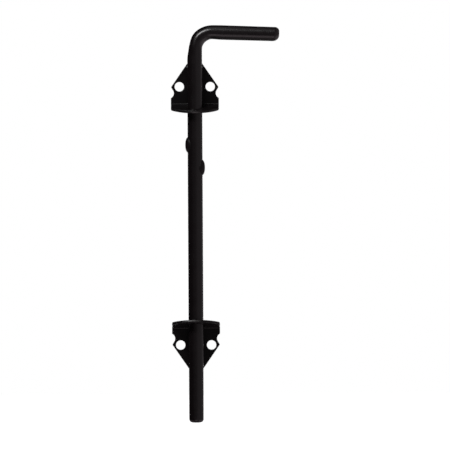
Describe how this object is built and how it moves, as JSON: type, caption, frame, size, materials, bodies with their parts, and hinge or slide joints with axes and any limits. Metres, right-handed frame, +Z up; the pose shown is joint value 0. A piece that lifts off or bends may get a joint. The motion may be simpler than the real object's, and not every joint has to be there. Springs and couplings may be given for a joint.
{
  "type": "cane bolt",
  "caption": "Gate drop bolt: a round rod bent into a handle, with two weld stop lugs, sliding in two folded sheet brackets whose collars guide it.",
  "frame": {"origin": "midway between the upper bracket's two screw holes, on the mounting plane, which is the back of both brackets", "axes": "+Z up along the rod, +Y from the brackets' backs into the gate, +X towards the handle's tip; the rod stands on the -Y side"},
  "size_m": [0.1161, 0.0335, 0.4245],
  "materials": {
    "rod_coat": "semi-gloss black powder coat on a steel bar",
    "lug_coat": "semi-gloss black powder coat over weld metal",
    "bracket_coat": "semi-gloss black powder coat on stamped sheet steel"
  },
  "bodies": {
    "brackets": {"upper_bracket": "bracket_coat", "lower_bracket": "bracket_coat"},
    "bolt": {"cane_rod": "rod_coat", "upper_stop_lug": "lug_coat", "lower_stop_lug": "lug_coat"}
  },
  "joints": [
    {"name": "bolt_slide", "type": "slide", "parent": "brackets", "child": "bolt", "axis": [0, 0, 1], "range_m": [-0.063, 0.0285]}
  ]
}
